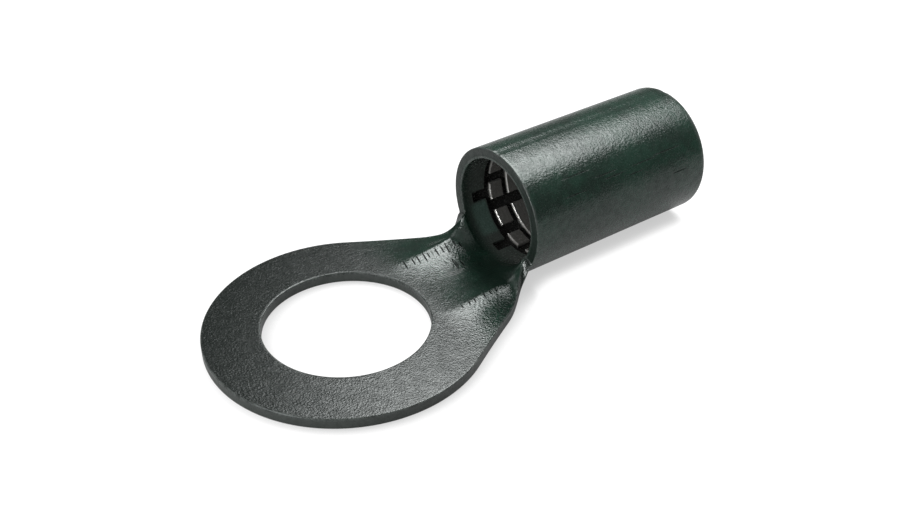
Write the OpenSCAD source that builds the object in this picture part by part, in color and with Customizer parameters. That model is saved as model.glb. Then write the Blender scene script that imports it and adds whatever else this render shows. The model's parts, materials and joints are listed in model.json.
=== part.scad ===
// Crimp ring terminal, stamped and rolled from one piece of sheet metal.
//
// Frame: the origin is the centre of the stud hole, on the underside of the ring.
// +Z points up through the hole, and +X runs along the barrel to its wire end.
// The flat ring runs on into a neck, which folds up into a trough between two crests.
// The trough becomes the lower wall of the barrel, and the rolled sheet closes
// at a seam along the barrel's top.

/* [Ring] */
// Diameter of the stud hole
stud_hole_d = 13; // [10:0.1:16]
// Outer diameter of the ring
ring_d = 22; // [20:0.1:27]
// Thickness of the sheet
sheet_t = 0.9; // [0.6:0.05:1.2]

/* [Barrel] */
// Bore of the barrel
bore_d = 9; // [7:0.1:11]
// Length of the barrel
barrel_len = 18.2; // [14:0.1:26]
// Distance from the stud hole's centre to the mouth of the barrel
mouth_x = 14.2; // [12.5:0.1:20]
// Rounding of the outer edge at the wire end
wire_end_round = 0.3; // [0.1:0.05:0.5]
// Chamfer of the bore at the wire end
wire_end_chamfer = 0.25; // [0.1:0.05:0.4]

/* [Neck] */
// Width of the flat margin outside each crest, where the tongue would reach the mouth
margin_w = 0.7; // [0.4:0.05:1.5]
// Radius of the hollow curve that leads from the ring to the tongue
waist_r = 140; // [30:5:300]
// Angle from the bottom of the barrel to the cut edge of the neck
neck_angle = 62.5; // [50:0.5:75]
// Radius of the notch corner between the neck and the barrel's rim
notch_r = 0.2; // [0.1:0.05:1]
// Share by which the crests stand closer together at the ring than at the barrel
crest_taper = 0.06; // [0:0.01:0.15]
// Share of the crests' height that builds up along the whole neck
early_rise = 0.38; // [0.2:0.02:0.8]
// Part of the neck's length over which the rest of the height builds up
late_rise_len = 0.2; // [0.08:0.01:0.4]
// Part of the neck's length over which the flat margins fold up
margin_fold_len = 0.45; // [0.2:0.01:0.8]

/* [Grip] */
// Depth of the grip grooves in the bore
groove_depth = 0.3; // [0.1:0.01:0.4]
// Width of the grooves that run round the bore
groove_w = 0.5; // [0.3:0.05:0.8]
// Distance from the mouth to the first groove
first_groove_x = 2.35; // [1.5:0.05:3]
// Spacing of the grooves along the barrel
groove_pitch = 1.8; // [1.4:0.05:2.2]
// Number of grooves
groove_count = 5; // [2:1:6]
// Number of pads round the bore in a row of wide pads
wide_pads = 6; // [4:1:8]
// Angle of the gap between two pads of a row
pad_gap_angle = 10; // [6:1:14]
// Turn of the first row of pads against the rows behind it
first_row_turn = 15; // [0:1:30]

/* [Seam] */
// Width of the hollow along the closed seam
seam_w = 0.8; // [0.3:0.05:1]
// Depth of the hollow along the closed seam
seam_depth = 0.04; // [0.02:0.01:0.12]

/* [Hidden] */
$fn = 96;

ring_r = ring_d / 2;
stud_hole_r = stud_hole_d / 2;
bore_r = bore_d / 2;
barrel_r = bore_r + sheet_t;
past = 1; // how far a cutting shape runs past the surface that it cuts
skin = 0.02; // how far inside the barrel's wall the skin of the neck's end lies
seat = 0.6; // how far the neck's end reaches into the barrel's wall
thin_margin = 0.05; // width of what is left of a margin where it has folded up

early_power = 1.3; // how slowly the crests' height starts to build up at the ring
late_power = 2; // how slowly the rest of that height starts to build up
fold_power = 3; // how slowly the margins start to fold
lift_power = 3; // how far the margins' edges rise ahead of the folding

stations = 18; // steps along the neck, closer together towards the barrel
notch_steps = 4; // steps round the notch corner
trough_steps = 10; // steps across half of the trough
margin_steps = 4; // steps across one margin

crest_half_w = bore_r * sin(neck_angle);
crest_full_rise = bore_r * (1 - cos(neck_angle));
tongue_half_w = crest_half_w + margin_w;

// The waist's hollow curve touches the ring's circle and ends at the tongue's corner by the
// mouth. Its centre is as far from the ring's centre as both radii together.
tongue_corner = norm([mouth_x, tongue_half_w]);
waist_angle = atan2(tongue_half_w, mouth_x) + acos(
  (pow(tongue_corner, 2) + pow(ring_r + waist_r, 2) - pow(waist_r, 2))
  / (2 * tongue_corner * (ring_r + waist_r)));
waist_centre = (ring_r + waist_r) * [cos(waist_angle), sin(waist_angle)];
neck_x = ring_r * cos(waist_angle);

neck_form_end = mouth_x + skin - notch_r;

// Grows from 0 to 1 over the last part of the neck, whose share of the length is part.
function build_up(u, part, power) = pow(max((u - 1) / part + 1, 0), power);

// Height of the crests above the flat sheet: u runs from 0 at the ring to 1 at the barrel.
function crest_rise(u) =
  crest_full_rise * (early_rise * pow(u, early_power)
                     + (1 - early_rise) * build_up(u, late_rise_len, late_power));

// Half the distance between the crests.
function crest_half(u) = crest_half_w * (1 - crest_taper * (1 - u));

// Half-width of the tongue at x.
function tongue_half(x) =
  waist_centre[1] - sqrt(pow(waist_r, 2) - pow(x - waist_centre[0], 2));

// One half of a section's upper or lower side: an arc of the given radius and angle,
// whose centre lies above the trough's bottom, then the margin out to the edge point.
function half_side(centre_z, radius, angle, edge) =
  let (crest = [radius * sin(angle), centre_z - radius * cos(angle)])
  [
    for (i = [0:trough_steps])
      let (a = angle * i / trough_steps) [radius * sin(a), centre_z - radius * cos(a)],
    for (i = [1:margin_steps])
      let (q = i / margin_steps)
        [crest[0] + (edge[0] - crest[0]) * q, edge[1] + (crest[1] - edge[1]) * pow(1 - q, 2)]
  ];

function both_halves(x, half) = [
  for (i = [len(half) - 1:-1:1]) [x, -half[i][0], half[i][1]],
  for (p = half) [x, p[0], p[1]]
];

// The points of one section: its upper side from left to right, then its lower side.
// The trough's arc has the given radius and angle, and the margin that is left of the
// tongue has folded up by the share fold.
function section(x, radius, angle, margin, fold) =
  let (
    inset = skin * fold,
    centre_z = sheet_t + radius,
    edge_angle = angle * fold,
    lift = 1 - pow(1 - fold, lift_power),
    edge = [
      (radius + inset) * sin(angle) + margin,
      sheet_t * (1 - lift) + (centre_z - (radius + inset) * cos(angle)) * lift
    ],
    lower_edge = edge + (sheet_t - 2 * inset) * [sin(edge_angle), -cos(edge_angle)]
  )
  concat(
    both_halves(x, half_side(centre_z, radius + inset, angle, edge)),
    both_halves(x, half_side(centre_z, radius + sheet_t - inset, angle, lower_edge))
  );

function forming_section(u) =
  let (
    x = neck_x + (neck_form_end - neck_x) * u,
    fold = build_up(u, margin_fold_len, fold_power),
    rise = max(crest_rise(u), 0.001),
    half_w = crest_half(u),
    radius = (half_w * half_w + rise * rise) / (2 * rise),
    free_margin = tongue_half(x) - skin - half_w
  )
  section(x, radius, asin(half_w / radius),
          free_margin * (1 - fold) + thin_margin * fold, fold);

// In the notch corner the cut edge runs out along the barrel's wall in a quarter circle.
function notch_section(turn) =
  section(neck_form_end + notch_r * sin(turn), bore_r,
          neck_angle + notch_r * (1 - cos(turn)) / (bore_r + sheet_t / 2) * 180 / PI,
          thin_margin, 1);

neck_sections = [
  for (i = [0:stations]) forming_section(sin(90 * i / stations)),
  for (i = [1:notch_steps]) notch_section(90 * i / notch_steps),
  [for (p = notch_section(90)) [mouth_x + seat, p[1], p[2]]]
];
side_len = 2 * (trough_steps + margin_steps) + 1;

function quad(a, b, c, d) = [[a, b, c], [a, c, d]];

// Skins a row of sections that each hold an upper and a lower side of side_len points.
module skin_sections(sections) {
  step = 2 * side_len;
  last = (len(sections) - 1) * step;
  around = concat(
    [for (i = [0:side_len - 1]) i],
    [for (i = [side_len - 1:-1:0]) side_len + i]
  );
  sides = [
    for (s = [0:len(sections) - 2], i = [0:step - 1])
      let (a = s * step + around[i], b = s * step + around[(i + 1) % step])
        each quad(a, b, b + step, a + step)
  ];
  caps = [
    for (i = [0:side_len - 2])
      each concat(
        quad(i, i + side_len, i + side_len + 1, i + 1),
        quad(last + i, last + i + 1, last + i + side_len + 1, last + i + side_len)
      )
  ];
  polyhedron(points = [for (s = sections) each s], faces = concat(sides, caps));
}

// Turns a shape that stands round the Z axis so that it lies round the barrel's axis,
// with z measured from the mouth and the angle 0 at the bottom of the barrel.
module along_barrel() {
  translate([mouth_x, 0, barrel_r])
    rotate([0, 90, 0])
      children();
}

module ring() {
  linear_extrude(sheet_t)
    difference() {
      circle(ring_r);
      translate([neck_x, -ring_r - past])
        square(2 * (ring_r + past));
    }
}

// Half of the barrel wall's long section, with its wire end rounded and chamfered.
module wall_profile() {
  difference() {
    translate([bore_r, 0])
      square([sheet_t, barrel_len]);
    translate([barrel_r - wire_end_round, barrel_len - wire_end_round])
      difference() {
        square(wire_end_round + past);
        circle(wire_end_round);
      }
    translate([bore_r, barrel_len])
      polygon([[-past, past], [-past, -past - wire_end_chamfer], [past + wire_end_chamfer, past]]);
  }
}

module barrel() {
  along_barrel()
    rotate_extrude()
      wall_profile();
}

// A groove in the bore, from the angle start round by the angle turn.
module groove(z, width, depth, start, turn) {
  translate([0, 0, z])
    rotate([0, 0, start])
      rotate_extrude(angle = turn)
        translate([bore_r - past, 0])
          square([past + depth, width]);
}

// Grooves round the bore, with gaps between them that leave rows of staggered pads.
module grip() {
  for (g = [0:groove_count - 1]) {
    z = first_groove_x + g * groove_pitch;
    groove(z, groove_w, groove_depth, 0, 360);
    if (g < groove_count - 1)
      pad_gaps(z + groove_w / 2, groove_pitch, g % 2 == 0 ? 2 * wide_pads : wide_pads, 0);
  }
  pad_gaps(first_groove_x - groove_pitch + groove_w, groove_pitch - groove_w / 2,
           wide_pads, first_row_turn);
}

module pad_gaps(z, length, pads, turn) {
  for (i = [0:pads - 1])
    groove(z, length, groove_depth - skin, turn + 360 * i / pads - pad_gap_angle / 2, pad_gap_angle);
}

// The hollow along the seam is a segment of a circle, as wide and deep as the seam's sizes say.
module seam() {
  r = (pow(seam_w / 2, 2) + seam_depth * seam_depth) / (2 * seam_depth);
  along_barrel()
    translate([-barrel_r + seam_depth - r, 0, -past])
      cylinder(r = r, h = barrel_len + 2 * past);
}

module ring_terminal() {
  color([0.16, 0.22, 0.2])
    difference() {
      union() {
        ring();
        skin_sections(neck_sections);
        barrel();
      }
      translate([0, 0, -past])
        cylinder(r = stud_hole_r, h = sheet_t + 2 * past);
      along_barrel()
        grip();
      seam();
    }
}

ring_terminal();
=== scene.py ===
"""Looks of the ring terminal: one piece of coated sheet metal on a pale floor under soft boxes.

The metal is one mesh, laid out as the sheet is: the flat ring, the neck with its trough and
two margins, and the rolled barrel. Its upper and lower faces are built with the same columns,
and rounded rims join them round the stud hole, the outline and the wire end.
Lengths are in millimetres in this script. They become metres when a mesh, a lamp, the camera
or a shader's own distance is made.
"""
import json
import math
import random
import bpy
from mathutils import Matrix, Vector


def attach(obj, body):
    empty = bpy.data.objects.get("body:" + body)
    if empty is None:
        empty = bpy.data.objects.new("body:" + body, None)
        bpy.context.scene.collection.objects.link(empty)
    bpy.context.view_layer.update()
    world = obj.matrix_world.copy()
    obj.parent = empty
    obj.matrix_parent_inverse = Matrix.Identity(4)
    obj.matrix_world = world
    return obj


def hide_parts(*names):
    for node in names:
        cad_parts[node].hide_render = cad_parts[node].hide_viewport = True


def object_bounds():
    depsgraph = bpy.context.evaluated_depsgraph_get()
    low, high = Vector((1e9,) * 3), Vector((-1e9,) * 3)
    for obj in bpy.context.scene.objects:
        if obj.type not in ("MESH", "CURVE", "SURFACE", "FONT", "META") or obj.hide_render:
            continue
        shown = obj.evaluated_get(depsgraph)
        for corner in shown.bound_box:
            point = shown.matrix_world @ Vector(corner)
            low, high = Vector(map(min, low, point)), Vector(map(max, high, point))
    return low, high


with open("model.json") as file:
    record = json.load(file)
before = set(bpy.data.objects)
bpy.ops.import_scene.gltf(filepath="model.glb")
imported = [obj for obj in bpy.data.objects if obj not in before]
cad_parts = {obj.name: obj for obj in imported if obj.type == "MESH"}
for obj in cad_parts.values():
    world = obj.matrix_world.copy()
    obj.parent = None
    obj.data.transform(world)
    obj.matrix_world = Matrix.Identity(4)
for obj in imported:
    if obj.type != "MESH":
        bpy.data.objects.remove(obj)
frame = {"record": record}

from types import SimpleNamespace

import bpy
import bmesh
import numpy as np
from mathutils import Matrix, Vector

MM = 0.001
cad_low, cad_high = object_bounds()
mounts = {m["name"]: m for m in frame["record"]["mounts"]}

# ---------------------------------------------------------------- sizes

# the sizes that the frame holds
HOLE_R = mounts["stud_hole"]["dims"]["r_mm"]
SHEET = mounts["stud_hole"]["dims"]["length_mm"]
BORE_R = mounts["conductor_barrel"]["dims"]["r_mm"]
RING_R = -cad_low.x / MM
WIRE_END = cad_high.x / MM
BARREL_R = BORE_R + SHEET
AXIS_Z = BARREL_R

# the neck, with the CAD model's own values
MOUTH = 14.2                       # where the barrel starts
MARGIN_W = 0.7
WAIST_R = 140.0
NECK_ANGLE = math.radians(62.5)
NOTCH_R = 0.2
CREST_TAPER = 0.06
EARLY_RISE = 0.38
LATE_RISE_LEN = 0.2
MARGIN_FOLD_LEN = 0.45
EARLY_POWER = 1.3
LATE_POWER = 2.0
FOLD_POWER = 3.0
LIFT_POWER = 3.0

# the barrel, with the CAD model's own values; angles are in degrees
GROOVE_DEPTH = 0.3
GROOVE_W = 0.5
FIRST_GROOVE = 2.35
GROOVE_PITCH = 1.8
GROOVES = 5
WIDE_PADS = 6
PAD_GAP = 10.0
FIRST_ROW_TURN = 15.0
SEAM_W = 0.8
SEAM_DEPTH = 0.04
WIRE_END_ROUND = 0.3
WIRE_END_CHAMFER = 0.25

# what the mesh adds to the CAD model's form
EDGE_R = 0.08                      # rounding of the sheet's cut edges
CREASE_R = 0.35                    # half the width over which a crest's crease is rounded
WALL = 0.03                        # half the length of a groove's sloping wall
PAD_WEAR = 0.07                    # length of the worn slope on a pad's edge that faces the mouth
PAD_WEAR_DEPTH = 0.3               # share of a groove's depth at which that slope starts
PAD_WEAR_REACH = 1.6               # how far the bare metal and its painted glint spread, in half lengths of that slope

CREST_W = BORE_R * math.sin(NECK_ANGLE)
CREST_RISE = BORE_R * (1 - math.cos(NECK_ANGLE))
TONGUE_W = CREST_W + MARGIN_W
FORM_END = MOUTH - NOTCH_R

# The waist's hollow curve touches the ring's circle and ends at the tongue's corner by the mouth.
TONGUE_CORNER = math.hypot(MOUTH, TONGUE_W)
WAIST_ANGLE = math.atan2(TONGUE_W, MOUTH) + math.acos(
    (TONGUE_CORNER ** 2 + (RING_R + WAIST_R) ** 2 - WAIST_R ** 2)
    / (2 * TONGUE_CORNER * (RING_R + WAIST_R)))
WAIST_X = (RING_R + WAIST_R) * math.cos(WAIST_ANGLE)
WAIST_Y = (RING_R + WAIST_R) * math.sin(WAIST_ANGLE)
NECK_X = RING_R * math.cos(WAIST_ANGLE)

# ---------------------------------------------------------------- the mesh's columns and rows

HALF = 66                          # columns in half of the trough
RETREAT = math.radians(3)          # how far the crest's column moves down the wall by the mouth
MARGIN_COLS = 12
MARGIN_SPREAD = 1.25               # over 1, a margin's columns lie closer together by the crest
NECK_ROWS = 56
NOTCH_ROWS = 6
RING_SPOKES = 150
HOLE_STEPS = 12                    # steps that find where a column meets the stud hole's edge
SETTLE = 0.9                       # length over which the barrel's columns become one per degree
SEAM_COLUMNS = np.arange(176.5, 184, 1)  # extra columns by the seam, in degrees
MOUTH_ROWS = [0, 0.25, 0.5, 0.75]  # close rows behind the mouth
PAD_ROW_GAP = 0.4                  # about how far apart the rows on a pad or in a groove are
PLAIN_ROWS = 12                    # rows of the bore behind the last groove
OUTER_ROWS = 26                    # rows of the barrel's outer face
LAST_ROW_GAP = 0.6                 # between the wire end and the row before it

RIM_ROWS = 3                       # rows on a rim's cut wall
RIM_LOWER_STEPS = 6                # steps round a rim's lower edge
RIM_START_WEAR = 0.6               # wear where a rim's rounding starts
SHARP_ANGLE = math.radians(38)

# name of a rim, rounding at the upper and the lower face, steps round the upper edge
RIMS = (
    ("hole", EDGE_R, EDGE_R, 4),
    ("outline", EDGE_R, EDGE_R, 4),
    ("end", WIRE_END_CHAMFER, WIRE_END_ROUND, 2),
)

# ---------------------------------------------------------------- the neck's form


def smooth(q):
    q = np.clip(q, 0.0, 1.0)
    return q * q * (3 - 2 * q)


def build_up(u, part, power):
    """Grows from 0 to 1 over the last part of the neck, whose share of the length is part."""
    return np.maximum((u - 1) / part + 1, 0) ** power


def outline_half(x):
    """Half-width of the flat outline at x: the ring's circle, then the waist's hollow curve."""
    ring = np.sqrt(np.maximum(RING_R ** 2 - x * x, 0))
    waist = WAIST_Y - np.sqrt(WAIST_R ** 2 - (x - WAIST_X) ** 2)
    return np.where(x < NECK_X, ring, waist)


def along_neck(x):
    """Runs from 0 where the neck leaves the ring to 1 at the end of its form."""
    return np.clip((x - NECK_X) / (FORM_END - NECK_X), 0, 1)


def crest_half(x):
    """Half the distance between the crests at x."""
    return CREST_W * (1 - CREST_TAPER * (1 - along_neck(x)))


def station(x):
    """The neck's form at x: trough radius, trough angle, crest column's angle, margin, fold."""
    u = along_neck(x)
    fold = build_up(u, MARGIN_FOLD_LEN, FOLD_POWER)
    late = build_up(u, LATE_RISE_LEN, LATE_POWER)
    share = EARLY_RISE * u ** EARLY_POWER + (1 - EARLY_RISE) * late
    rise = np.maximum(CREST_RISE * share, 1e-3)
    half = crest_half(x)
    radius = (half ** 2 + rise ** 2) / (2 * rise)
    angle = np.arcsin(np.minimum(half / radius, 1))
    crest_column = angle - RETREAT * fold
    turned = np.clip((x - FORM_END) / NOTCH_R, 0, 1)
    angle = angle + NOTCH_R * (1 - np.sqrt(1 - turned ** 2)) / (BORE_R + SHEET / 2)
    margin = (outline_half(x) - half) * (1 - fold)
    return radius, angle, crest_column, margin, fold


def section_sizes(x, lower):
    """Trough radius, then on one face: arc radius, arc angle, crest column's angle, margin, fold."""
    radius, angle, crest_column, margin, fold = station(x)
    if lower:
        margin = margin + SHEET * (np.sin(angle * fold) - np.sin(angle)) * (1 - (fold >= 1))
        margin = np.maximum(margin, 0)
    return radius, radius + SHEET * lower, angle, crest_column, margin, fold


def trace(x, length, lower):
    """(y, z) of the point that lies length from the trough's bottom line, along the section."""
    radius, arc_r, angle, _, margin, fold = section_sizes(x, lower)
    centre_z = SHEET + radius
    arc_len = angle * arc_r
    a = np.minimum(length, arc_len) / arc_r
    crest_y, crest_z = arc_r * np.sin(angle), centre_z - arc_r * np.cos(angle)
    upper_crest_z = centre_z - radius * np.cos(angle)
    lift = 1 - (1 - fold) ** LIFT_POWER
    edge_z = SHEET * (1 - lift) + upper_crest_z * lift - SHEET * np.cos(angle * fold) * lower
    q = np.clip((length - arc_len) / np.maximum(margin, 1e-6), 0, 1) * (length > arc_len)
    y = np.where(q > 0, crest_y + margin * q, arc_r * np.sin(a))
    z = np.where(q > 0, edge_z + (crest_z - edge_z) * (1 - q) ** 2, centre_z - arc_r * np.cos(a))
    return y, z


def sheet_point(x, share, f, lower):
    """A point of one face: share runs over the trough from 0 to 1 at the crest's column, and f
    over the rest of the section, out to the edge. The crest's crease is rounded."""
    _, arc_r, angle, crest_column, margin, _ = section_sizes(x, lower)
    arc_len = angle * arc_r
    start = crest_column * arc_r
    length = share * start + f * (arc_len + margin - start)
    w = np.maximum(np.minimum(CREASE_R, 0.9 * margin), 1e-9)
    t = (length - arc_len + w) / (2 * w)
    y, z = trace(x, length, lower)
    y0, z0 = trace(x, arc_len - w, lower)
    y1, z1 = trace(x, arc_len, lower)
    y2, z2 = trace(x, arc_len + w, lower)
    near = (t > 0) & (t < 1)
    b0, b1, b2 = (1 - t) ** 2, 2 * t * (1 - t), t * t
    y = np.where(near, b0 * y0 + b1 * y1 + b2 * y2, y)
    z = np.where(near, b0 * z0 + b1 * z1 + b2 * z2, z)
    return np.stack([x + 0 * y, y, z], -1)


def margin_fractions(x, lower):
    """Fractions of a margin's columns at x. The last but one keeps clear of the rounded edge."""
    _, arc_r, angle, crest_column, margin, _ = section_sizes(x, lower)
    rest = angle * arc_r + margin - crest_column * arc_r
    steps = (np.arange(MARGIN_COLS) / (MARGIN_COLS - 1)) ** MARGIN_SPREAD
    inner = steps[None, :] * (1 - 2 * EDGE_R / rest)[:, None]
    return np.concatenate([inner, np.ones((len(x), 1))], 1)


def mirror(points):
    return points * np.array([1, -1, 1])


# ---------------------------------------------------------------- the barrel's form

def groove_start(g):
    return FIRST_GROOVE + g * GROOVE_PITCH


def pads_behind(g):
    """Number of pads in the row behind groove g: narrow and wide pads take turns."""
    return WIDE_PADS * (2 if g % 2 == 0 else 1)


def row_gaps(angle, count, turn):
    """1 in the gaps between the pads of a row, at that angle round the bore, in degrees."""
    pitch = 360.0 / count
    away = np.abs((angle - turn + pitch / 2) % pitch - pitch / 2)
    return np.clip(PAD_GAP / 2 + 1 - away, 0, 1)


def bore_radius(z, angle):
    """Radius of the bore z behind the mouth: pads at the bore's radius, with grooves between."""
    z, angle = np.broadcast_arrays(z, angle)

    def between(lo, hi):
        falls = [hi - WALL, hi + WALL, hi + WALL + PAD_WEAR]
        rise = np.clip((z - lo) / (2 * WALL) + 0.5, 0, 1)
        return rise * np.interp(z, falls, [1, PAD_WEAR_DEPTH, 0])

    depth = np.zeros(z.shape)
    for g in range(GROOVES):
        start = groove_start(g)
        depth = np.maximum(depth, between(start, start + GROOVE_W))
        if g < GROOVES - 1:
            row = between(start + GROOVE_W / 2, start + GROOVE_W / 2 + GROOVE_PITCH)
            depth = np.maximum(depth, row * row_gaps(angle, pads_behind(g), 0))
    first = between(FIRST_GROOVE - GROOVE_PITCH + GROOVE_W, FIRST_GROOVE + GROOVE_W / 2)
    depth = np.maximum(depth, first * row_gaps(angle, WIDE_PADS, FIRST_ROW_TURN))
    return BORE_R + GROOVE_DEPTH * depth


def pad_wear_and_glint(z, angle):
    """1 on the pads' worn edges that face the mouth, where bare metal and a painted glint go."""
    z, angle = np.broadcast_arrays(z, angle)
    worn = np.zeros(z.shape)
    for g in range(GROOVES):
        end = groove_start(g) + GROOVE_W + WALL
        away = np.abs(z - end - PAD_WEAR / 2) / (PAD_WEAR / 2)
        near = np.clip(PAD_WEAR_REACH - away, 0, 1)
        worn = np.maximum(worn, near * (1 - row_gaps(angle, pads_behind(g), 0)))
    return worn


def seam_hollow(angle):
    """Depth of the hollow along the closed seam on top of the barrel."""
    away = np.abs(angle - 180) * math.radians(1) * BARREL_R
    return SEAM_DEPTH * np.clip(1 - (away / (SEAM_W / 2)) ** 2, 0, 1)


def outer_rows():
    """Distances from the mouth of the rows on the barrel's outer face."""
    length = WIRE_END - MOUTH
    plain = np.linspace(1.6, length - 1.0, OUTER_ROWS)
    return np.concatenate([MOUTH_ROWS, [1.0], plain, [length - LAST_ROW_GAP, length]])


def bore_rows():
    """Distances from the mouth of the rows in the bore, with four at each groove's wall."""
    length = WIRE_END - MOUTH
    edges = [FIRST_GROOVE - GROOVE_PITCH + GROOVE_W]
    for g in range(GROOVES):
        edges += [groove_start(g), groove_start(g) + GROOVE_W]
    rows = list(MOUTH_ROWS)
    for a, b in zip(edges, edges[1:] + [edges[-1] + 0.5]):
        rows += [a - WALL, a + WALL, a + WALL + PAD_WEAR, a + WALL + 2 * PAD_WEAR]
        count = max(1, round((b - a) / PAD_ROW_GAP))
        rows += [a + (b - a) * (i + 0.8) / (count + 0.4) for i in range(count)]
    rows += list(np.linspace(edges[-1] + 0.7, length - LAST_ROW_GAP, PLAIN_ROWS)) + [length]
    return np.array(rows)


# ---------------------------------------------------------------- the mesh

def grid_quads(index, closed=False):
    """The quads between the rows of a grid of points, given by the points' indices."""
    if closed:
        index = np.concatenate([index, index[:, :1]], 1)
    a, b, c, d = index[:-1, :-1], index[1:, :-1], index[1:, 1:], index[:-1, 1:]
    return np.stack([a, b, c, d], -1).reshape(-1, 4)


class Face:
    """One face of the sheet: its points, its quads, and its three free loops.

    loops holds the indices of each free loop's points, and inner those of their neighbours.
    """

    def __init__(self, lower):
        self.lower = lower
        self.points = []
        self.count = 0
        self.build()
        self.points = np.concatenate(self.points)

    def add(self, points):
        """Takes a grid of points in, and returns the grid of their indices."""
        points = np.asarray(points, float)
        index = np.arange(self.count, self.count + points[..., 0].size).reshape(points.shape[:-1])
        self.points.append(points.reshape(-1, 3))
        self.count += index.size
        return index

    def add_trough(self, along, notch_x):
        """The trough, from the stud hole's edge to the mouth, and the crests' x at that edge."""
        share = np.arange(-HALF, HALF + 1) / HALF
        start = np.full(share.shape, HOLE_R)
        for _ in range(HOLE_STEPS):
            start = np.sqrt(HOLE_R ** 2 - (share * crest_half(start)) ** 2)
        x = start + (FORM_END - start) * along[:, None]
        x = np.concatenate([x, np.repeat(notch_x[:, None], 2 * HALF + 1, 1)])
        trough = sheet_point(x, np.abs(share) + 0 * x, 0 * x, self.lower)
        trough[..., 1] *= np.sign(share)
        return self.add(trough), start[-1]

    def add_margins(self, trough, crest_start, along, notch_x):
        """The margins outside the crests, and the fractions of their columns."""
        crest_x = np.concatenate([crest_start + (FORM_END - crest_start) * along, notch_x])
        edge_x = np.concatenate([NECK_X + (FORM_END - NECK_X) * along, notch_x])
        f = margin_fractions(edge_x, self.lower)[:, 1:]
        x = crest_x[:, None] + (edge_x - crest_x)[:, None] * f
        margin = sheet_point(x, 1 + 0 * x, f, self.lower)
        left = np.concatenate([trough[:, -1:], self.add(margin)], 1)
        right = np.concatenate([trough[:, :1], self.add(mirror(margin))], 1)
        return left, right, f

    def add_ring(self, left, right, crest_start, fractions):
        """The flat ring, from one margin's first row round to the other's."""
        crest_angle = math.acos(crest_start / HOLE_R)
        turn = np.linspace(0, 1, RING_SPOKES + 1)[1:-1, None]
        z = SHEET * (1 - self.lower) + 0 * turn

        def circle(radius, first):
            angle = first + (2 * math.pi - 2 * first) * turn
            return np.concatenate([radius * np.cos(angle), radius * np.sin(angle), z], 1)[:, None]

        inner, outer = circle(HOLE_R, crest_angle), circle(RING_R, WAIST_ANGLE)
        share = np.concatenate([[0], fractions])[None, :, None]
        return np.concatenate([left[:1], self.add(inner + (outer - inner) * share), right[:1]])

    def add_barrel(self, trough, left, right, fractions):
        """The barrel's rows, and the part of its first row that is free of the neck. Its columns
        start as the neck's last row has them, and settle to one per degree."""
        crest_column = np.degrees(NECK_ANGLE - RETREAT)
        rim_angle = np.degrees(section_sizes(np.array([MOUTH]), self.lower)[2][0])
        first_free, last_free = HALF + MARGIN_COLS + 1, 360 - HALF - MARGIN_COLS - 1
        free = np.arange(first_free, last_free + 1, dtype=float)
        free = np.sort(np.concatenate([free, SEAM_COLUMNS]))
        free_at_mouth = rim_angle + (free - first_free + 1) * (360 - 2 * rim_angle) / (
            last_free - first_free + 2)
        margin_at_mouth = crest_column + fractions * (rim_angle - crest_column)
        trough_at_mouth = np.arange(0, HALF + 1) * crest_column / HALF
        settled = np.concatenate([
            np.arange(0, first_free), free, np.arange(last_free + 1, 360)])
        at_mouth = np.concatenate([
            trough_at_mouth, margin_at_mouth, free_at_mouth,
            360 - margin_at_mouth[::-1], 360 - trough_at_mouth[:0:-1]])

        rows = (outer_rows() if self.lower else bore_rows())[:, None]
        angle = at_mouth + (settled - at_mouth) * smooth(rows / SETTLE)
        r = BARREL_R - seam_hollow(angle) if self.lower else bore_radius(rows, angle)
        a = np.radians(angle)
        wall = np.stack([MOUTH + rows + 0 * a, r * np.sin(a), AXIS_Z - r * np.cos(a)], -1)
        free_columns = slice(first_free, first_free + len(free))
        free_mouth = self.add(wall[0, free_columns])
        mouth = np.concatenate([
            trough[-1, HALF:], left[-1, 1:], free_mouth, right[-1, :0:-1], trough[-1, :HALF]])
        barrel = np.concatenate([mouth[None], self.add(wall[1:])])
        wear = np.zeros(barrel.shape) if self.lower else pad_wear_and_glint(rows, angle)
        return barrel, free_mouth, free_columns, wear

    def build(self):
        along = np.sin(np.linspace(0, math.pi / 2, NECK_ROWS + 1))
        notch_x = FORM_END + NOTCH_R * np.sin(
            np.linspace(0, math.pi / 2, NOTCH_ROWS + 1)[1:])
        trough, crest_start = self.add_trough(along, notch_x)
        left, right, f = self.add_margins(trough, crest_start, along, notch_x)
        ring = self.add_ring(left, right, crest_start, f[0])
        barrel, free_mouth, free_columns, wear = self.add_barrel(trough, left, right, f[-1])
        self.quads = [grid_quads(grid) for grid in (trough, left, right, ring)]
        self.quads.append(grid_quads(barrel, closed=True))
        self.barrel = barrel
        self.wear = np.zeros(self.count)
        self.wear[barrel] = wear
        self.loops = {
            "hole": np.concatenate([trough[0], ring[1:-1, 0]]),
            "outline": np.concatenate([
                ring[::-1, -1][:-1], left[:, -1], free_mouth, right[::-1, -1][:-1]]),
            "end": barrel[-1],
        }
        self.inner = {
            "hole": np.concatenate([trough[1], ring[1:-1, 1]]),
            "outline": np.concatenate([
                ring[::-1, -2][:-1], left[:, -2], barrel[1, free_columns], right[::-1, -2][:-1]]),
            "end": barrel[-2],
        }


def unit(v):
    return v / np.maximum(np.linalg.norm(v, axis=-1, keepdims=True), 1e-12)


def rounding(face, name, normal, radius, steps):
    """Rows of points round one edge of a rim, from the face out to the rim's wall."""
    p = face.points[face.loops[name]]
    tangent = unit(np.roll(p, -1, 0) - np.roll(p, 1, 0))
    n = unit(normal - tangent * np.sum(normal * tangent, -1, keepdims=True))
    out = unit(np.cross(tangent, n))
    if np.sum(out * (p - face.points[face.inner[name]])) < 0:
        out = -out
    turn = np.linspace(0, math.pi / 2, steps + 1)[:, None, None]
    return p - radius * (out + n) + radius * (np.cos(turn) * n + np.sin(turn) * out)


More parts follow.
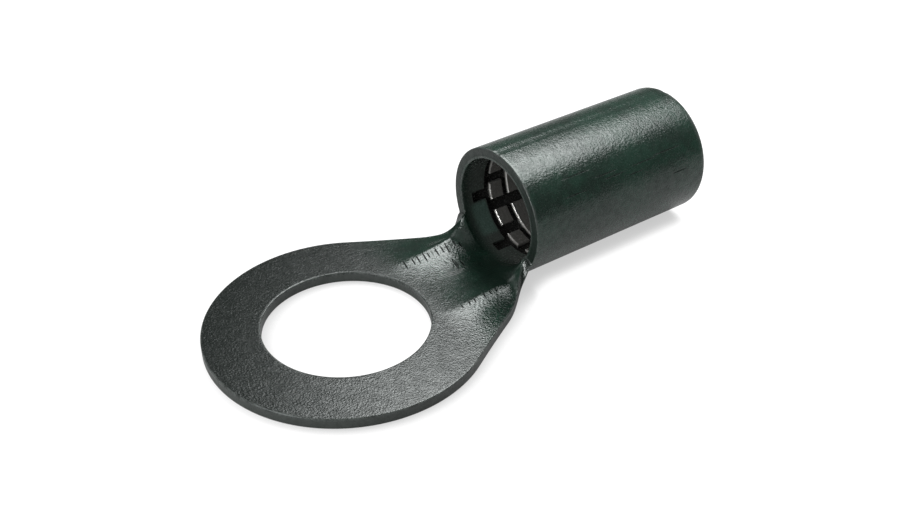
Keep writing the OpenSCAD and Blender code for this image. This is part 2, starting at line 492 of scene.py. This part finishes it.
def rim(upper, lower, name, upper_r, lower_r, upper_steps):
    """Rows of a rim's points, from the upper face's free loop to the lower face's."""
    normal = unit(upper.points[upper.loops[name]] - lower.points[lower.loops[name]])
    down = rounding(upper, name, normal, upper_r, upper_steps)
    up = rounding(lower, name, -normal, lower_r, RIM_LOWER_STEPS)[::-1]
    share = (np.arange(1, RIM_ROWS + 1) / (RIM_ROWS + 1))[:, None, None]
    return np.concatenate([down, down[-1] + (up[0] - down[-1]) * share, up])


class Metal:
    """The whole piece's points and quads, and a mask or a wear value at each point."""

    def __init__(self, upper, lower):
        rims = [rim(upper, lower, *sizes) for sizes in RIMS]
        self.points = [upper.points, lower.points]
        self.quads = upper.quads + [q + upper.count for q in lower.quads]
        self.count = upper.count + lower.count
        self.masks = {
            name: [np.zeros(upper.count), np.zeros(lower.count)]
            for name in ("edge", "cut", "bore", "wear")}
        self.masks["bore"][0][upper.barrel.ravel()] = 1
        self.masks["wear"][0][:] = upper.wear
        for (name, _, _, upper_steps), grid in zip(RIMS, rims):
            self.add_rim(upper.loops[name], lower.loops[name], upper.count, grid, upper_steps)

    def add_rim(self, upper_loop, lower_loop, offset, grid, upper_steps):
        """Moves the faces' free loops in to the rim's own, and adds what lies between them."""
        self.points[0][upper_loop] = grid[0]
        self.points[1][lower_loop] = grid[-1]
        self.masks["edge"][0][upper_loop] = RIM_START_WEAR
        self.masks["edge"][1][lower_loop] = RIM_START_WEAR
        body = grid[1:-1]
        columns = body.shape[1]
        index = np.arange(self.count, self.count + body.shape[0] * columns).reshape(-1, columns)
        index = np.concatenate([upper_loop[None], index, lower_loop[None] + offset])
        self.quads.append(grid_quads(index, closed=True))
        self.points.append(body.reshape(-1, 3))
        self.count += body.shape[0] * columns
        row = np.arange(1, body.shape[0] + 1)
        on_wall = ((row > upper_steps) & (row <= upper_steps + RIM_ROWS + 1)).astype(float)
        on_wall = np.repeat(on_wall, columns)
        self.masks["cut"].append(on_wall)
        self.masks["edge"].append(1 - on_wall)
        self.masks["bore"].append(0 * on_wall)
        self.masks["wear"].append(0 * on_wall)


def link(data, name):
    piece = bpy.data.objects.new(name, data)
    bpy.context.scene.collection.objects.link(piece)
    return piece


def build_metal():
    metal = Metal(Face(0), Face(1))
    mesh = bpy.data.meshes.new("terminal_metal")
    points = (np.concatenate(metal.points) * MM).tolist()
    mesh.from_pydata(points, [], np.concatenate(metal.quads).tolist())
    for name, values in metal.masks.items():
        layer = mesh.attributes.new(name, "FLOAT", "POINT")
        layer.data.foreach_set("value", np.concatenate(values).astype(np.float32))
    bm = bmesh.new()
    bm.from_mesh(mesh)
    bmesh.ops.recalc_face_normals(bm, faces=bm.faces)
    bm.to_mesh(mesh)
    bm.free()
    mesh.shade_smooth()
    mesh.set_sharp_from_angle(angle=SHARP_ANGLE)
    return link(mesh, "terminal_metal")


# ---------------------------------------------------------------- node helpers

class Graph:
    """A material's or the world's nodes, made with short calls."""

    def __init__(self, owner):
        owner.use_nodes = True
        self.tree = owner.node_tree
        self.tree.nodes.clear()

    def node(self, kind, inputs=None, **settings):
        made = self.tree.nodes.new(kind)
        for key, value in settings.items():
            setattr(made, key, value)
        for key, value in (inputs or {}).items():
            self.put(made.inputs[key], value)
        return made

    def put(self, socket, value):
        if isinstance(value, bpy.types.NodeSocket):
            self.tree.links.new(value, socket)
        else:
            socket.default_value = value

    def math(self, operation, a, b=0.0):
        return self.node("ShaderNodeMath", {0: a, 1: b}, operation=operation).outputs[0]

    def add(self, *terms):
        total = terms[0]
        for term in terms[1:]:
            total = self.math("ADD", total, term)
        return total

    def times(self, *factors):
        product = factors[0]
        for factor in factors[1:]:
            product = self.math("MULTIPLY", product, factor)
        return product

    def invert(self, share):
        return self.math("SUBTRACT", 1.0, share)

    def ramp(self, value, lo, hi, to_lo=0.0, to_hi=1.0):
        """value from lo to hi becomes to_lo to to_hi, along a smooth step."""
        made = self.node("ShaderNodeMapRange", {
            "Value": value, "From Min": lo, "From Max": hi, "To Min": to_lo, "To Max": to_hi},
            interpolation_type="SMOOTHSTEP")
        return made.outputs["Result"]

    def window(self, value, rise_start, rise_end, fall_start, fall_end):
        """0 before rise_start and after fall_end, and 1 from rise_end to fall_start."""
        return self.times(self.ramp(value, rise_start, rise_end),
                          self.ramp(value, fall_end, fall_start))

    def blend(self, share, a, b):
        """Colour a where share is 0, and b where it is 1."""
        made = self.node("ShaderNodeMix", data_type="RGBA")
        self.put(made.inputs[0], share)
        self.put(made.inputs[6], a)
        self.put(made.inputs[7], b)
        return made.outputs[2]

    def vector(self, x, y, z):
        return self.node("ShaderNodeCombineXYZ", {0: x, 1: y, 2: z}).outputs[0]

    def split(self, vector):
        return self.node("ShaderNodeSeparateXYZ", {0: vector}).outputs

    def stretched(self, u, u_scale, v, v_scale):
        """The plane of u and v, with each of them scaled."""
        return self.vector(self.times(u, u_scale), self.times(v, v_scale), 0.0)

    def noise(self, place, scale, detail=3.0, roughness=0.55):
        made = self.node("ShaderNodeTexNoise", {
            "Vector": place, "Scale": scale, "Detail": detail, "Roughness": roughness})
        return made.outputs["Fac"]

    def cells(self, place, scale):
        made = self.node("ShaderNodeTexVoronoi", {"Vector": place, "Scale": scale})
        return made.outputs["Distance"]

    def strokes(self, plane, lines, width):
        """1 on thin strokes with pointed ends, each from (u0, v0) to (u1, v1) in that plane."""
        total = 0.0
        for u0, v0, u1, v1 in lines:
            half = STROKE_POINT * math.hypot(u1 - u0, v1 - v0) / 2
            made = self.node("ShaderNodeMapping", {
                "Vector": plane, "Location": ((u0 + u1) / 2, (v0 + v1) / 2, 0),
                "Rotation": (0, 0, math.atan2(v1 - v0, u1 - u0)),
                "Scale": (half, width / 2, 1)}, vector_type="TEXTURE")
            spot = self.node("ShaderNodeTexGradient", {"Vector": made.outputs[0]},
                             gradient_type="SPHERICAL")
            total = self.math("MAXIMUM", total, spot.outputs["Fac"])
        return self.ramp(total, 0.0, STROKE_SOFT)


def colour(r, g, b):
    return (r, g, b, 1.0)


# ---------------------------------------------------------------- the coat's colours and places

COAT_GREEN = colour(0.0120, 0.0340, 0.0230)
COAT_DARK = colour(0.0095, 0.0215, 0.0155)
RING_GREY = colour(0.0055, 0.0085, 0.0070)
COAT_BARE = colour(0.075, 0.085, 0.08)
CUT_GREY = colour(0.046, 0.053, 0.049)
RIM_DARK = colour(0.009, 0.013, 0.011)
BORE_BROWN = colour(0.150, 0.148, 0.138)
BORE_ENTRY = colour(0.065, 0.078, 0.070)
# painted light on the first pad inside the mouth
BORE_FIRST_PAD_LIGHT = colour(0.085, 0.135, 0.115)
# painted shade in the bore's grooves and gaps
BORE_RECESS_SHADE = colour(0.020, 0.020, 0.019)
# bare metal on the pads' worn edges, made near white as a painted glint
PAD_BARE_AND_GLINT = colour(0.88, 0.87, 0.84)
SCRATCH_LIGHT = colour(0.10, 0.11, 0.105)
SCRATCH_DARK = colour(0.003, 0.004, 0.0035)
GLINT_TINT = colour(0.95, 1.0, 0.985)

# Where one region gives way to the next, along x unless the name says otherwise. A pair says
# where the change starts and ends. Four values say where a region starts and is full, and where
# it starts to fade and ends.
RING_TO_NECK = (5.0, 10.0)
NECK_TO_BARREL = (MOUTH - 0.4, MOUTH + 0.4)
NECK_TO_BORE = (MOUTH - 0.2, MOUTH + 1.4)
ENTRY_TO_PADS = (MOUTH + 2.2, MOUTH + 2.7)
MOUTH_RIM = (MOUTH + 1.0, MOUTH + 0.5)
INNER_RIM_RADIUS = (BORE_R + 0.50, BORE_R + 0.20)
# painted shade in the bore's grooves and gaps: by radius, and from where along x
RECESS_SHADE_RADIUS = (BORE_R + 0.3 * GROOVE_DEPTH, BORE_R + 0.9 * GROOVE_DEPTH)
RECESS_SHADE_X = (MOUTH + 0.3, MOUTH + 0.5)
SPECKS_THIN_OUT = (5.0, 12.0)
CUT_EDGE_DARKENS = (7.0, 11.0)
NECK_SMOOTHER = (5.0, 8.5)
NEAR_MARGIN_X = (7.5, 10.0)
NEAR_MARGIN_Y = (-4.6, -5.8)
HATCHED_X = (9.6, 11.0, 12.6, 13.4)
HATCHED_Y = (-0.6, 0.8, 3.4, 4.4)
# the first pad inside the mouth, painted lighter and greener as a painted pool of light
FIRST_PAD_LIGHT_X = (MOUTH + 0.3, MOUTH + 1.0, MOUTH + 2.1, MOUTH + 2.4)
FIRST_PAD_LIGHT_ROUND = (0.50, 0.62, 1.14, 1.24)    # round the axis from the bottom, in radians
# the lit side of the bore, where the painted glint on the pads' edges is strongest
LIT_SIDE_ROUND = (0.15, 0.35, 1.45, 1.65)    # round the axis from the bottom, in radians

STROKE_POINT = 1.15                # how much longer a stroke is made, as its points fade out
STROKE_SOFT = 0.3                  # share of a stroke's half width over which its side fades
TICK_W = 0.13
SCRATCH_W = 0.11
TICK_LEAN = math.radians(259)      # the way the dark ticks run across the trough
SCRATCH_WAY = math.radians(-6)     # the way the light scratches run along the neck


def stroke_row(seed, count, start, end, length, way):
    """Strokes side by side between two places of a plane, with uneven gaps and lengths. Each
    runs the given way, an angle in that plane, and is about as long as length."""
    chance = random.Random(seed)
    strokes = []
    for i in range(count):
        share = (i + 0.5 + chance.uniform(-0.3, 0.3)) / count
        u, v = (a + (b - a) * share for a, b in zip(start, end))
        half = length * chance.uniform(0.6, 1.3) / 2
        du, dv = half * math.cos(way), half * math.sin(way)
        strokes.append((u - du, v - dv, u + du, v + dv))
    return strokes


# places on the neck are (x, y), and places on the barrel (x, way round from its bottom line)
DARK_TICKS = (
    stroke_row(1, 8, (7.6, 3.5), (12.0, 3.1), 1.1, TICK_LEAN)
    + stroke_row(2, 3, (10.9, 1.3), (11.8, 1.0), 1.1, TICK_LEAN)
    + stroke_row(3, 2, (12.4, 3.4), (13.0, 2.6), 0.6, TICK_LEAN)
    + stroke_row(4, 6, (7.9, -3.9), (11.6, -4.0), 0.6, TICK_LEAN)
)
LIGHT_STROKES = (
    stroke_row(5, 3, (10.3, 0.6), (9.9, 0.1), 2.0, SCRATCH_WAY)
    + stroke_row(6, 3, (8.0, 0.5), (12.3, 0.3), 0.4, SCRATCH_WAY)
)
BARREL_STROKES = (
    stroke_row(7, 4, (17.0, -11.0), (31.0, -11.8), 3.4, 0.0)
    + stroke_row(8, 4, (18.0, -12.8), (30.0, -9.4), 2.2, 0.0)
)

# ---------------------------------------------------------------- the coat's material


def coat_places(g):
    """Where a point lies, in millimetres and radians, and a share of 0 to 1 for each region."""
    at = SimpleNamespace()
    place = g.node("ShaderNodeTexCoord").outputs["Object"]
    at.place = g.node("ShaderNodeVectorMath", {0: place, 1: (1 / MM, 1 / MM, 1 / MM)},
                      operation="MULTIPLY").outputs[0]
    at.x, at.y, z = g.split(at.place)
    at.edge, at.cut, at.bore, at.wear = (
        g.node("ShaderNodeAttribute", attribute_name=name).outputs["Fac"]
        for name in ("edge", "cut", "bore", "wear"))
    normal = g.node("ShaderNodeNewGeometry").outputs["Normal"]
    faces_up = g.ramp(g.split(normal)[2], 0.1, 0.4)

    # the barrel unrolled: x along it, and the way round it from its bottom line
    above_axis = g.math("SUBTRACT", z, AXIS_Z)
    at.round_angle = g.math("ARCTAN2", at.y, g.times(above_axis, -1.0))
    at.around = g.times(at.round_angle, BARREL_R)
    at.radius = g.math("SQRT", g.add(g.times(at.y, at.y), g.times(above_axis, above_axis)))

    at.on_barrel = g.ramp(at.x, *NECK_TO_BARREL)
    at.outside = g.times(at.on_barrel, g.invert(at.bore))
    at.on_neck = g.times(g.invert(at.on_barrel), faces_up)
    at.near_margin = g.times(
        at.on_neck, g.times(g.ramp(at.y, *NEAR_MARGIN_Y), g.ramp(at.x, *NEAR_MARGIN_X)))
    at.hatched = g.times(g.window(at.x, *HATCHED_X), g.window(at.y, *HATCHED_Y))
    at.inner_rim = g.times(g.times(at.cut, g.ramp(at.x, *MOUTH_RIM)),
                           g.times(at.on_barrel, g.ramp(at.radius, *INNER_RIM_RADIUS)))
    return at


def coat_patterns(g, at):
    """The coat's noises, and its marks: ticks, scratches, strokes, wrinkles and leathery skin."""
    pattern = SimpleNamespace()
    pattern.clouds = g.noise(at.place, 0.22, 3.0)
    pattern.mottle = g.noise(at.place, 1.3, 4.0)
    pattern.grain = g.noise(at.place, 5.5, 3.0, 0.6)
    pattern.fine = g.noise(at.place, 14.0, 2.0)
    pattern.peel = g.noise(g.stretched(at.x, 0.7, at.around, 1.0), 3.6, 2.0)
    pattern.sparkle = g.cells(at.place, 6.0)
    pattern.streaks = g.noise(g.stretched(at.x, 0.12, at.around, 5.0), 1.0, 3.0)
    pattern.leather = g.times(g.ramp(g.cells(at.place, 4.6), 0.45, 0.75), at.near_margin)
    across = g.math("SUBTRACT", at.x, g.times(at.y, 0.19))
    wrinkles = g.noise(g.stretched(across, 8.5, at.y, 1.3), 1.0, 2.0)
    pattern.wrinkles = g.times(g.ramp(wrinkles, 0.61, 0.68), g.times(at.hatched, at.on_neck))
    flat = g.vector(at.x, at.y, 0.0)
    unrolled = g.vector(at.x, at.around, 0.0)
    pattern.ticks = g.times(g.strokes(flat, DARK_TICKS, TICK_W), at.on_neck)
    pattern.scratches = g.times(g.strokes(flat, LIGHT_STROKES, SCRATCH_W), at.on_neck)
    pattern.barrel_strokes = g.times(g.strokes(unrolled, BARREL_STROKES, SCRATCH_W), at.outside)
    pattern.lines = g.add(
        pattern.ticks,
        g.times(pattern.barrel_strokes, 0.8),
        g.times(pattern.wrinkles, 0.7),
        g.times(pattern.leather, 0.5),
    )
    return pattern


def bore_colour(g, at):
    """The bore's worn metal, with painted light on the first pad, which is lighter and greener, and
    painted shade in the grooves and gaps.
    """
    # painted light: the first pad lighter and greener than the rest of the entry
    first_pad_light = g.times(g.window(at.round_angle, *FIRST_PAD_LIGHT_ROUND), g.window(at.x, *FIRST_PAD_LIGHT_X))
    # painted shade: darker where the bore is recessed
    recess_shade = g.ramp(at.radius, *RECESS_SHADE_RADIUS)
    inside = g.blend(first_pad_light, BORE_ENTRY, BORE_FIRST_PAD_LIGHT)
    inside = g.blend(g.ramp(at.x, *ENTRY_TO_PADS), inside, BORE_BROWN)
    return g.blend(g.times(recess_shade, g.ramp(at.x, *RECESS_SHADE_X)), inside, BORE_RECESS_SHADE)


def rubbed_edges_and_glints(g, at, pattern):
    """Share of bare metal and painted glint on the pads' worn edges, most of it on the lit side of
    the bore.
    """
    lit_side = g.window(at.round_angle, *LIT_SIDE_ROUND)
    rubbed_and_glint = g.times(g.ramp(at.wear, 0.45, 0.75), g.ramp(pattern.mottle, 0.30, 0.50, 0.5, 1.0))
    return g.times(rubbed_and_glint, g.ramp(lit_side, 0.0, 1.0, 0.4, 1.0))


def coat_colour(g, at, pattern, rubbed_and_glint):
    """The coat over the whole part, with its bore, its cut and worn edges, the painted glint on the
    pads' edges, and its marks.
    """
    tone = g.ramp(g.add(g.times(pattern.clouds, 0.65), g.times(pattern.mottle, 0.35)), 0.40, 0.60)
    base = g.blend(tone, COAT_GREEN, COAT_DARK)
    base = g.blend(g.invert(g.ramp(at.x, *RING_TO_NECK)), base, RING_GREY)
    specks = g.ramp(g.noise(at.place, 3.6, 2.0), 0.60, 0.70)
    base = g.blend(g.times(specks, g.ramp(at.x, *SPECKS_THIN_OUT, 0.30, 0.12)), base, COAT_BARE)

    base = g.blend(g.times(at.bore, g.ramp(at.x, *NECK_TO_BORE)), base, bore_colour(g, at))
    # painted glint on the pads' worn edges, over their bare metal
    base = g.blend(rubbed_and_glint, base, PAD_BARE_AND_GLINT)

    cut = g.blend(g.ramp(at.x, *CUT_EDGE_DARKENS), CUT_GREY, RIM_DARK)
    base = g.blend(g.times(at.cut, 0.75), base, cut)
    worn = g.times(at.edge, g.ramp(pattern.mottle, 0.35, 0.6, 0.25, 0.9))
    base = g.blend(worn, base, COAT_BARE)
    base = g.blend(pattern.scratches, base, SCRATCH_LIGHT)
    return g.blend(pattern.lines, base, SCRATCH_DARK)


def coat_relief(g, at, pattern):
    """Height of the coat's grain and marks, in millimetres."""
    return g.add(
        g.times(pattern.grain, 0.016),
        g.times(pattern.fine, 0.007),
        g.times(g.times(pattern.peel, at.on_barrel), 0.016),
        g.times(pattern.sparkle, 0.010),
        g.times(g.times(pattern.streaks, at.on_barrel), 0.004),
        g.times(pattern.mottle, 0.012),
        g.times(pattern.ticks, -0.015),
        g.times(pattern.scratches, -0.008),
        g.times(pattern.barrel_strokes, -0.010),
        g.times(pattern.leather, -0.014),
        g.times(pattern.wrinkles, -0.012),
    )


def coat_gloss(g, at, pattern):
    """Roughness and specular level. The neck is smoother than the rest, and the marks, the inner
    half of the mouth's rim and the near margin are duller."""
    rough = g.add(
        g.ramp(pattern.grain, 0.3, 0.7, 0.20, 0.29),
        g.times(at.cut, 0.08),
        g.times(pattern.lines, 0.3),
        g.times(at.on_neck, g.ramp(at.x, *NECK_SMOOTHER, 0.0, -0.10)),
    )
    shine = g.times(g.ramp(g.noise(at.place, 1.7, 4.0, 0.7), 0.35, 0.65, 0.42, 0.62),
                    g.ramp(g.add(pattern.lines, at.inner_rim), 0.0, 1.0, 1.0, 0.12))
    return rough, g.times(shine, g.ramp(at.near_margin, 0.0, 1.0, 1.0, 0.35))


def coat_material():
    material = bpy.data.materials.new("coated_metal")
    g = Graph(material)
    at = coat_places(g)
    pattern = coat_patterns(g, at)
    rubbed_and_glint = rubbed_edges_and_glints(g, at, pattern)
    rough, shine = coat_gloss(g, at, pattern)
    bump = g.node("ShaderNodeBump", {
        "Strength": 1.0, "Distance": MM, "Height": coat_relief(g, at, pattern)})
    shader = g.node("ShaderNodeBsdfPrincipled", {
        "Base Color": coat_colour(g, at, pattern, rubbed_and_glint), "Roughness": rough,
        "Normal": bump.outputs[0], "Metallic": g.times(rubbed_and_glint, 0.7), "IOR": 1.55,
        "Specular IOR Level": shine, "Specular Tint": GLINT_TINT})
    g.node("ShaderNodeOutputMaterial", {"Surface": shader.outputs[0]})
    return material


# ---------------------------------------------------------------- floor, lights, camera

WHITE = colour(1, 1, 1)
FLOOR_HALF = 1500.0
FLOOR_DROP = 0.004                 # the floor lies just under the sheet
FLOOR_PAPER = colour(0.2, 0.2, 0.2)       # what the lamps add to the floor's own glow
FLOOR_BOUNCE = colour(0.6, 0.6, 0.6)      # the floor's colour as it lights the object
FLOOR_IN_REFLECTIONS = 0.36        # share of the floor's glow that reflections show
SHADE_REACH = (3.2, 1.6)           # how far the soft shade reaches from the ring, and the barrel
SHADE_SIDE = (-0.25, 0.75, 0.6)    # the way in which the floor looks for the object
SHADE_SAMPLES = 12
SHADE_OPEN = (0.30, 0.97)          # how open a spot is in full shade, and in none
SHADE_GLOW = (0.56, 0.95)          # the floor's glow there
ROOM_GLOW = (0.08, 0.16)           # strength of the room's dim light at floor level, and overhead

# name, place, target, width, height, radiance
SOFT_BOXES = (
    ("soft_box_over", (65, 0, 100), (65, 0, 0), 66, 72, 8.5),
    ("soft_box_left", (54, 58, 100), (54, 58, 0), 40, 44, 10.5),
    ("soft_box_far", (64, 89, 100), (64, 89, 0), 42, 28, 3.4),
    ("fill_behind_camera", (-110, -30, 150), (10, 0, 0), 150, 200, 0.35),
    ("low_light_on_mouth", (-95, -22, 30), (MOUTH, 0, AXIS_Z), 40, 40, 12),
    ("fill_far_side", (-70, 110, 140), (10, 0, 0), 120, 120, 1.0),
)

CAMERA_AZ, CAMERA_EL, CAMERA_ROLL = -35.38, 34.13, -0.58   # degrees
CAMERA_DISTANCE = 97.12
CAMERA_TARGET = (12.6, 3.99, 0.0)
CAMERA_LENS = 46.09
CAMERA_SENSOR = 36.0


def floor_material():
    """White to the camera and dimmer in reflections, with a soft shade of its own where the
    object stands close by on the far side."""
    material = bpy.data.materials.new("floor_white")
    g = Graph(material)
    light_path = g.node("ShaderNodeLightPath")
    seen = g.math("MAXIMUM", light_path.outputs["Is Camera Ray"],
                  g.math("MAXIMUM", light_path.outputs["Is Glossy Ray"],
                         light_path.outputs["Is Transmission Ray"]))
    x = g.times(g.split(g.node("ShaderNodeTexCoord").outputs["Object"])[0], 1 / MM)
    near_by = g.node("ShaderNodeAmbientOcclusion", {
        "Distance": g.ramp(x, MOUTH - 3.0, MOUTH + 3.0, *(reach * MM for reach in SHADE_REACH)),
        "Normal": g.vector(*SHADE_SIDE)}, samples=SHADE_SAMPLES)
    shade = g.ramp(near_by.outputs["AO"], *SHADE_OPEN, *SHADE_GLOW)
    mirrored = g.ramp(light_path.outputs["Is Glossy Ray"], 0.0, 1.0, 1.0, FLOOR_IN_REFLECTIONS)
    glow = g.node("ShaderNodeEmission", {"Color": WHITE, "Strength": g.times(shade, mirrored)})
    paper = g.node("ShaderNodeBsdfDiffuse", {"Color": FLOOR_PAPER})
    lit = g.node("ShaderNodeAddShader", {0: paper.outputs[0], 1: glow.outputs[0]})
    bounce = g.node("ShaderNodeBsdfDiffuse", {"Color": FLOOR_BOUNCE})
    mixed = g.node("ShaderNodeMixShader", {0: seen, 1: bounce.outputs[0], 2: lit.outputs[0]})
    g.node("ShaderNodeOutputMaterial", {"Surface": mixed.outputs[0]})
    return material


def make_floor():
    mesh = bpy.data.meshes.new("floor")
    half, z = FLOOR_HALF * MM, -FLOOR_DROP * MM
    corners = [(-half, -half, z), (half, -half, z), (half, half, z), (-half, half, z)]
    mesh.from_pydata(corners, [], [(0, 1, 2, 3)])
    mesh.materials.append(floor_material())
    floor = link(mesh, "floor")


def make_world():
    """A dim room, a little brighter overhead."""
    world = bpy.data.worlds.new("studio")
    bpy.context.scene.world = world
    g = Graph(world)
    up = g.split(g.node("ShaderNodeTexCoord").outputs["Generated"])[2]
    glow = g.ramp(up, -0.1, 1.0, *ROOM_GLOW)
    room = g.node("ShaderNodeBackground", {"Color": WHITE, "Strength": glow})
    g.node("ShaderNodeOutputWorld", {"Surface": room.outputs[0]})


def make_lamp(name, place, target, width, height, radiance):
    """A soft box: an area lamp of that size, whose surface shows that radiance."""
    data = bpy.data.lights.new(name, "AREA")
    data.shape = "RECTANGLE"
    data.size, data.size_y = width * MM, height * MM
    data.energy = radiance * math.pi * data.size * data.size_y
    lamp = link(data, name)
    lamp.location = Vector(place) * MM
    way = Vector(target) - Vector(place)
    lamp.rotation_euler = way.to_track_quat("-Z", "Y").to_euler()


def make_camera():
    az, el, roll = (math.radians(v) for v in (CAMERA_AZ, CAMERA_EL, CAMERA_ROLL))
    back = Vector((math.sin(az) * math.cos(el), -math.cos(az) * math.cos(el), math.sin(el)))
    level_right = Vector((math.cos(az), math.sin(az), 0))
    level_up = back.cross(level_right)
    right = math.cos(roll) * level_right + math.sin(roll) * level_up
    up = math.cos(roll) * level_up - math.sin(roll) * level_right
    data = bpy.data.cameras.new("camera")
    data.sensor_width = CAMERA_SENSOR
    data.lens = CAMERA_LENS
    data.clip_start, data.clip_end = 5 * MM, 5000 * MM
    camera = link(data, "camera")
    turn = Matrix((right, up, back)).transposed().to_4x4()
    place = Vector(CAMERA_TARGET) + back * CAMERA_DISTANCE
    camera.matrix_world = Matrix.Translation(place * MM) @ turn
    bpy.context.scene.camera = camera


# ---------------------------------------------------------------- the scene

metal = build_metal()
metal.data.materials.append(coat_material())
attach(metal, "root")
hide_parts("ring_terminal")

make_floor()
make_world()
for soft_box in SOFT_BOXES:
    make_lamp(*soft_box)
make_camera()
bpy.context.scene.view_settings.view_transform = "Standard"
